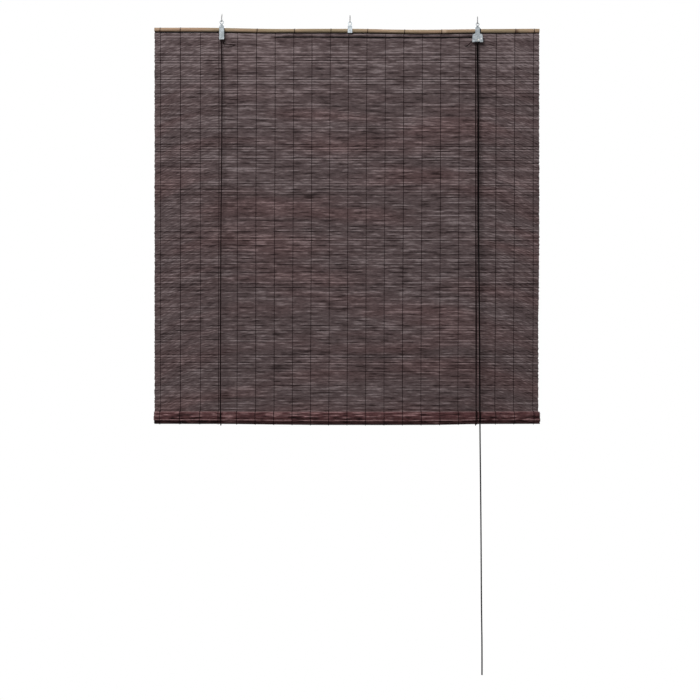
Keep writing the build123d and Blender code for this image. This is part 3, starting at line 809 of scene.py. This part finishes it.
def make_top_rail():
    """The cane: hollow at its ends, cut into short rings, then bent, swollen and given its growth rings."""
    half = BLIND_HALF + 0.5
    cane = cylinder_along_x(CANE_SIDES, CANE_R * MM, 2 * half * MM)
    none_chosen()
    for face in cane.data.polygons:
        face.select = abs(face.normal.x) > 0.9
    with EditMode():
        bpy.ops.mesh.select_mode(type="FACE")
        bpy.ops.mesh.inset(thickness=CANE_WALL * MM, depth=0.0)
    for sign in (-1, 1):
        none_chosen()
        for face in cane.data.polygons:
            face.select = face.normal.x * sign > 0.9 and len(face.vertices) > 8
        with EditMode():
            bpy.ops.mesh.extrude_region_move(
                TRANSFORM_OT_translate={"value": (-sign * CANE_HOLLOW * MM, 0, 0)},
            )
    none_chosen()
    with EditMode():
        bpy.ops.mesh.select_mode(type="EDGE")
    points = coords(cane)
    for edge in cane.data.edges:
        a, b = points[edge.vertices[0]], points[edge.vertices[1]]
        edge.select = abs(a[0] - b[0]) > 1.5 * half * MM and math.hypot(a[1], a[2]) > CANE_SKIN * MM
    with EditMode():
        bpy.ops.mesh.subdivide(number_cuts=CANE_CUTS)
    points = coords(cane) / MM
    x = points[:, 0] + BLIND_CENTRE_X
    across = np.hypot(points[:, 1], points[:, 2])
    turn = np.arctan2(points[:, 2], points[:, 1])
    swell = 0.12 * np.sin(x / 63.0 + 1.0) + 0.08 * np.sin(x / 23.0)
    swell = swell + 0.1 * np.cos(2 * turn + x / 140.0) + 0.05 * np.sin(5 * turn + x / 37.0)
    ring = np.zeros(len(points))
    lump = np.zeros(len(points))
    for at in GROWTH_RINGS:
        offset = x - at - 0.7 * np.cos(turn + at)
        lump += ridges(offset, RING_SHAPE)
        ring += ridges(offset, RING_COLOUR)
    outer = across > CANE_SKIN
    scale = np.where(outer, (across + swell + lump) / np.maximum(across, 0.1), 1.0)
    place = np.stack([x, points[:, 1] * scale + MAT_Y, points[:, 2] * scale + rail_line_at(x)], axis=1)
    set_coords(cane, place * MM)
    mark(cane, "growth_ring", np.clip(ring, -1, 1) * outer)
    cane.name = "crooked_cane"
    finished(cane, "rail_cane", ["top_rail"], 40)
    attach(cane, "headrail")


# Mat

SLAT_COUNT = 300
SLAT_CUTS = 39
SLAT_LEAN = 7.5
# The right edge comes in by 2.4 mm over the 55 splits from split 172 on
NARROWED_BY, NARROWED_FROM, NARROWED_OVER = 2.4, 172, 55
# Tone of the nearly black splits: the one right under the cane is painted shadow of the cane, the other lies
# in the dark line
BLACK_TONE = -9.0
DARK_LINE_FROM, DARK_LINE_TO = -190, 318
BLACK_SPLIT_PROUD = 0.5


def plain_split(cuts, height, thickness):
    """One bamboo split along X: a flattened six-sided bar with both ends closed, cut into even lengths."""
    length = 2 * BLIND_HALF
    split = cylinder_along_x(6, 0.5, length)
    with EditMode():
        bpy.ops.mesh.select_all(action="SELECT")
        bpy.ops.transform.resize(value=(1, thickness, height))
        bpy.ops.mesh.select_all(action="DESELECT")
        bpy.ops.mesh.select_mode(type="EDGE")
    if cuts:
        points = coords(split)
        for edge in split.data.edges:
            edge.select = abs(points[edge.vertices[0]][0] - points[edge.vertices[1]][0]) > length / 2
        with EditMode():
            bpy.ops.mesh.subdivide(number_cuts=cuts)
    return split


def wander(rng, x, waves, size):
    """A gentle random wave along x, in millimetres."""
    out = np.zeros_like(x)
    for length in waves:
        out += rng.normal() * np.sin(2 * math.pi * x / length + rng.uniform(0, 2 * math.pi))
    return out * size / math.sqrt(len(waves))


def split_copy(split, name):
    made = split.copy()
    made.data = split.data.copy()
    made.name = name
    bpy.context.collection.objects.link(made)
    return made


def shaped_split(source, points, slat_height, rest_height, tone):
    """A copy of a split with its own points, and the numbers that its finish reads."""
    copy = split_copy(source, "split")
    set_coords(copy, points * MM)
    for name, value in (("slat_height", slat_height), ("rest_height", rest_height), ("slat_tone", tone)):
        mark(copy, name, np.broadcast_to(value, len(points)))
    return copy


def split_tone(k, x, tone):
    """A split's tone along x. Under the rail come a black split of painted shadow, a pale one, then a dark
    and a black line.
    """
    in_dark_line = (x > DARK_LINE_FROM) & (x < DARK_LINE_TO)
    # Painted shadow: the whole split right under the cane is drawn black for the cane's shadow
    if k == 0:
        return BLACK_TONE
    if k == 1:
        return 1.2
    if k == 2:
        return np.where(in_dark_line, -1.3, 0.4)
    return np.where(in_dark_line & (k == 3), BLACK_TONE, np.clip(tone, -2, 2))


def make_mat():
    """Splits, each bent, twisted and cut a little differently. The top ones follow the crooked cane."""
    rng = np.random.default_rng(11)
    split = plain_split(SLAT_CUTS, 4.7, 1.2)
    base = coords(split)
    x = base[:, 0]
    under_cane = rail_line_at(x + BLIND_CENTRE_X) - CANE_R - 1.3 - (SLAT_TOP - SLAT_PITCH / 2)
    splits = []
    shared_bow = np.zeros(len(base))
    tone = 0.0
    for k in range(SLAT_COUNT):
        height = SLAT_TOP - SLAT_PITCH * (k + 0.5)
        narrowed = NARROWED_BY * min(max((k - NARROWED_FROM) / NARROWED_OVER, 0.0), 1.0)
        ends = np.where(x > 0, rng.normal() * 0.4 - narrowed, rng.normal() * 0.4)
        twist = np.radians(SLAT_LEAN + wander(rng, x, (170, 420, 90), 2.2))
        thick = 1 + wander(rng, x, (60, 210), 0.05)
        y = base[:, 1] * np.cos(twist) * thick - base[:, 2] * np.sin(twist)
        z = base[:, 1] * np.sin(twist) + base[:, 2] * np.cos(twist) * thick
        shared_bow = 0.93 * shared_bow + wander(rng, x, (180, 420, 900), 0.16)
        bow = shared_bow + wander(rng, x, (95, 240), 0.1)
        points = np.stack([
            x + np.clip(ends, -3.2, 0.9) * (np.abs(x) > BLIND_HALF - 5) + BLIND_CENTRE_X,
            y + MAT_Y + wander(rng, x, (130, 330), 0.05),
            z + height + bow * min(1.0, 0.2 + k / 8) + under_cane * math.exp(-k / 5.0),
        ], axis=1)
        tone = rng.normal() - 0.5 * tone
        shade = split_tone(k, points[:, 0], tone)
        if k == 3:
            points[:, 1] -= np.where(shade == BLACK_TONE, BLACK_SPLIT_PROUD, 0.0)
        splits.append(shaped_split(split, points, height * MM, points[:, 2] * MM, shade))
    bpy.data.objects.remove(split)
    mat = joined(splits, "hanging_mat")
    finished(mat, "stained_bamboo", ["mat_slats"], 50)
    stretches(mat)


def thread_place(x, z):
    """A warp thread's x at a height: right of the left block they lean a little to the left as they fall."""
    down = (SLAT_TOP - z) / 1000.0
    lean = 4.2 * min(max((x + 390) / 250.0, 0.0), 1.0) * (0.4 if x > 470 else 1.0)
    return x + 0.9 + 2.4 * math.exp(-((x + 160) / 110.0) ** 2) - lean * down


def warp_strand(rng, x, top, side):
    """A strand in front of the splits (side -1) or behind (1), which dips between them and wanders."""
    points = []
    drift = rng.uniform(0, 6)
    for k in range(int((top - THREAD_FOOT) / SLAT_PITCH * 2)):
        z = top - k * SLAT_PITCH / 2
        over = 1.0 if k % 2 else 0.35
        sway = 0.3 * (1 if (k // 2) % 2 else -1) * (1 if k % 2 else 0.2) * side
        aside = 0.3 * math.sin(z / 137.0 + drift) + rng.normal() * 0.08
        points.append((thread_place(x, z) + sway + aside, MAT_Y + side * (0.8 + 0.35 * over), z))
    return plain_strand("strand", points, THREAD_R, 4)


def tie(x, top, tie_x):
    """Two turns round the cane, and a foot in front and behind that leads to them."""
    middle = rail_height(tie_x)
    reach = CANE_R + 0.35
    strands = []
    for turn in range(2):
        ring = []
        for k in range(20):
            a = 2 * math.pi * k / 20
            across = tie_x + turn * 0.9 + 0.3 * math.sin(a)
            ring.append((across, MAT_Y + reach * math.cos(a), middle + reach * math.sin(a)))
        strands.append(plain_strand("tie", ring, 0.42, 6, cyclic=True))
    for side in (-1, 1):
        strands.append(plain_strand("foot", [
            (x, MAT_Y + side * 1.1, top - 0.8),
            ((x + tie_x) / 2, MAT_Y + side * 2.6, top + 1.0),
            (tie_x + 0.5, MAT_Y + side * 4.9, middle - 2.2),
        ], 0.5, 6))
    return strands


def make_threads():
    """Warp threads, some tied round the cane and the others looped over the top split."""
    rng = np.random.default_rng(23)
    for index, x in enumerate(THREAD_X):
        top = rail_height(x) - CANE_R - 0.6
        strands = [warp_strand(rng, x, top, side) for side in (-1, 1)]
        x = thread_place(x, top)
        if index in TIED_THREADS:
            strands += tie(x, top, x + 3.2 * min(1.0, (index + 1) / 6.0) - 1.8)
        else:
            strands.append(plain_strand("loop", [
                (x, MAT_Y - 1.1, top - 0.4),
                (x, MAT_Y - 0.6, top + 0.3),
                (x, MAT_Y + 0.6, top + 0.3),
                (x, MAT_Y + 1.1, top - 0.4),
            ], 0.48, 6))
        thread = joined(strands, f"warp_strands_{index + 1:02d}")
        finished(thread, "warp_cotton", [f"warp_thread_{index + 1:02d}"], 60)
        stretches(thread)


# Roll

ROLL_LAYER = 1.62
ROLL_OUTER = ROLL_R - 0.65
ROLL_SHORTER = 0.9972
ROLL_SAG, ROLL_SWELL = 1.8, 1.2
# Angles in the outer turn, from the back over the bottom: a painted highlight on the splits on top, and
# painted shade on the splits below
PAINTED_HIGHLIGHT_ANGLES, PAINTED_HIGHLIGHT_TONE = (4.3, 4.75), 4.2
PAINTED_SHADE_ANGLES, PAINTED_SHADE_BY = (1.5, 2.65), 2.2


def roll_swell(x):
    """The roll is a little thicker and hangs a little lower in the middle: 0 at its ends, 1 in the middle."""
    return 1 / (1 + np.exp(-(x + 215) / 50)) / (1 + np.exp((x - 285) / 35))


def make_roll():
    """The wound part: a spiral of splits, with the outer turn bent like the hanging ones."""
    rng = np.random.default_rng(31)
    fine = plain_split(SLAT_CUTS, 3.5, 1.25)
    coarse = plain_split(0, 3.3, 1.2)
    splits = []
    angle = 0.0
    radius = ROLL_OUTER
    while radius > CORE_R + 0.9:
        outside = angle < 2 * math.pi - 0.02
        source = fine if outside else coarse
        points = coords(source)
        x = points[:, 0]
        bow = wander(rng, x, (120, 300), 0.25) if outside else 0.0
        lift = wander(rng, x, (160, 420), 0.2) if outside else 0.0
        swell = roll_swell(x + BLIND_CENTRE_X)
        r = (radius + points[:, 1] + lift) * (1 + (ROLL_SWELL * swell - 0.5) / ROLL_R)
        turn = angle + (points[:, 2] + bow) / radius
        end = np.where(x > 0, rng.normal(), rng.normal()) * 1.2 * (np.abs(x) > BLIND_HALF - 5)
        place = np.stack([
            x * ROLL_SHORTER + np.clip(end, -1.2, 1.2) + BLIND_CENTRE_X,
            ROLL_Y + r * np.cos(turn),
            ROLL_Z + (ROLL_SAG / 2 - ROLL_SAG * swell) - r * np.sin(turn),
        ], axis=1)
        tone = np.clip(rng.normal() * 1.5, -2.6, 2.2)
        # Painted light: the outer turn's top splits are paler as a painted highlight, and the splits
        # underneath darker as painted shade
        if outside and PAINTED_HIGHLIGHT_ANGLES[0] < angle < PAINTED_HIGHLIGHT_ANGLES[1]:
            tone = PAINTED_HIGHLIGHT_TONE
        if outside and PAINTED_SHADE_ANGLES[0] < angle < PAINTED_SHADE_ANGLES[1]:
            tone = max(tone - PAINTED_SHADE_BY, -3.9)
        own_height = 0.5 + len(splits) * SLAT_PITCH * MM
        splits.append(shaped_split(source, place, own_height, own_height, tone))
        angle += SLAT_PITCH / radius
        radius = ROLL_OUTER - ROLL_LAYER * angle / (2 * math.pi)
    for source in (fine, coarse):
        bpy.data.objects.remove(source)
    roll = joined(splits, "wound_mat")
    only(roll)
    with EditMode():
        bpy.ops.mesh.select_all(action="SELECT")
        bpy.ops.mesh.normals_make_consistent(inside=False)
    finished(roll, "rolled_bamboo", ["rolled_mat"], 50)
    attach(roll, "roll")


def make_wound_strands():
    """The warp threads' turns round the roll."""
    strands = []
    for x in THREAD_X:
        x = thread_place(x, ROLL_Z)
        swell = float(roll_swell(x))
        ring = []
        for k in range(64):
            a = 2 * math.pi * k / 64
            r = ROLL_R - 0.5 + ROLL_SWELL * swell + (0.42 if k % 2 else 0.12)
            sway = 0.35 * (1 if (k // 2) % 2 else -1) * (k % 2)
            z = ROLL_Z + ROLL_SAG / 2 - ROLL_SAG * swell + r * math.sin(a)
            ring.append((x + sway, ROLL_Y + r * math.cos(a), z))
        strands.append(plain_strand("turn", ring, THREAD_R, 6, cyclic=True))
    wound = joined(strands, "wound_strands")
    finished(wound, "warp_cotton", [], 60)
    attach(wound, "roll")


# Hooks and hardware

WIRE_R, CURL_R = 1.2, 3.8
CURL_ENTRY, CURL_END = 15, 298
SHANK = 11.6
SHANK_STARTS = 1.6
SCREW_PITCH = 1.15
# Down the shank: height, and share of the wire's radius
SHANK_TAPER = (
    (SHANK, 0.1), (SHANK - 1.5, 0.4), (SHANK - 3.5, 0.8), (SHANK - 4.5, 0.92), (5, 0.92), (2.6, 0.92),
    (SHANK_STARTS, 1.0),
)


def make_hooks():
    """Screw hooks: a threaded, pointed shank and a curl of the same wire."""
    entry = math.radians(CURL_ENTRY)
    bend = CURL_R * math.sin(entry) / (1 - math.sin(entry))
    drop = (bend + CURL_R) * math.cos(entry)
    for side, x in HOOKS:
        shoulder = -HOOK_FALL * x
        lean = 1.6 if side == "left" else 0.3
        line = [(x + lean * max(z - SHANK_STARTS, 0) / SHANK, 0, shoulder + z) for z, _ in SHANK_TAPER]
        radii = [r for _, r in SHANK_TAPER]
        for k in range(7):
            a = math.radians(180 + (90 - CURL_ENTRY) * k / 6)
            line.append((x, bend + bend * math.cos(a), shoulder + bend * math.sin(a)))
        for k in range(1, 41):
            a = math.radians(90 - CURL_ENTRY - (CURL_END - CURL_ENTRY) * k / 40)
            line.append((x, CURL_R * math.cos(a), shoulder - drop + CURL_R * math.sin(a)))
        radii += [1.0] * (len(line) - len(radii))
        line.append((line[-1][0], line[-1][1] + 0.25, line[-1][2] + 0.45))
        radii.append(0.55)
        body = plain_strand("wire", line, WIRE_R, 14, radii)
        helix, thin = [], []
        for k in range(190):
            z = 3.0 + (SHANK - 3.3) * k / 189
            left = SHANK - z
            r = 1.08 * min(1.0, 0.12 + left / 2.6)
            a = 2 * math.pi * z / SCREW_PITCH
            across = x + lean * (z - SHANK_STARTS) / SHANK + r * math.cos(a)
            helix.append((across, r * math.sin(a), shoulder + z))
            thin.append(min(1.0, 0.3 + left / 3.0, 0.3 + k / 14))
        ridge = plain_strand("thread", helix, 0.26, 6, thin)
        hook = joined([body, ridge], "wire_hook_" + side)
        finished(hook, "hook_steel", ["screw_hook_" + side], 40)
        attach(hook, "ceiling_hooks")


def make_hardware():
    """The middle hanger, nails, pins, wheels, roller and core keep their CAD shapes and get worn finishes."""
    finishes = {
        "left_pulley_block": "zinc_plate",
        # painted light: the same zinc plate, drawn lighter on the middle hanger
        "middle_hanger": "zinc_painted_lighter",
        "cord_lock_housing": "zinc_plate",
        "rail_nails": "zinc_plate",
        "left_sheave_pin": "zinc_plate",
        "lock_sheave_pin": "zinc_plate",
        "lock_guide_pin": "bright_rivet",
        "left_sheave": "wheel_nylon",
        "lock_sheave": "wheel_nylon",
        "lock_roller": "roller_brass",
        "core_rod": "core_wood",
    }
    for name, finish in finishes.items():
        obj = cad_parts[name]
        obj.data.materials.clear()
        obj.data.materials.append(FINISH[finish])
    drawn_in("left_pulley_block", "tapered_pulley_block", -333.0,
             ((-17.0, 1.0), (-21.0, 0.8), (-37.0, 0.8), (-52.2, 0.95)))
    drawn_in("cord_lock_housing", "shouldered_cord_lock", 331.0,
             ((-20.0, 1.0), (-38.0, 0.95), (-40.5, 0.93), (-58.0, 1.0)),
             ((-30, -30), (-34.4, -37.0), (-38.6, -40.4), (-41.5, -41.5)))


def drawn_in(node_name, name, middle, shares, lowered=None):
    """A stamped part with its sides drawn in by a share at each height, and its shoulder lowered."""
    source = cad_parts[node_name]
    part = split_copy(source, name)
    part.matrix_world = source.matrix_world.copy()
    only(part)
    bpy.ops.object.transform_apply(location=True, rotation=True, scale=True)
    points = coords(part) / MM
    share = np.interp(-points[:, 2], [-height for height, _ in shares], [share for _, share in shares])
    points[:, 0] = middle + (points[:, 0] - middle) * share
    if lowered:
        points[:, 2] += np.interp(-points[:, 2], [-a for a, _ in lowered], [b - a for a, b in lowered])
    set_coords(part, points * MM)
    finished(part, "zinc_plate", [node_name])
    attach(part, "headrail")


# Floor

FLOOR_Z, FLOOR_SIZE = -3.8, 12.0
SHOWN_GREY, LIT_GREY, SHOWN_GLOW = 0.9, 0.52, 0.55


def make_stage():
    """A plain floor, shown pale while the light that it throws back stays low. It keeps the shadows."""
    nothing_selected()
    bpy.ops.mesh.primitive_plane_add(size=FLOOR_SIZE, location=(0, 0, FLOOR_Z))
    floor = bpy.context.view_layer.objects.active
    floor.name = "studio_floor"
    material = bpy.data.materials.new("studio_floor")
    material.use_nodes = True
    tree = material.node_tree
    bsdf = tree.nodes["Principled BSDF"]
    seen = seen_by_camera_or_mirror(tree)
    tree.links.new(mix_of(tree, seen, rgba(LIT_GREY), rgba(SHOWN_GREY)), bsdf.inputs["Base Color"])
    bsdf.inputs["Roughness"].default_value = 0.9
    bsdf.inputs["Specular IOR Level"].default_value = 0.1
    bsdf.inputs["Emission Color"].default_value = rgba(1.0)
    tree.links.new(times(tree, seen, SHOWN_GLOW), bsdf.inputs["Emission Strength"])
    floor.data.materials.append(material)


make_camera()
make_light()
FINISH = make_finishes()
make_pull_cord()
make_lift_cords()
make_mat()
make_threads()
make_roll()
make_wound_strands()
make_top_rail()
make_hooks()
make_hardware()
make_stage()
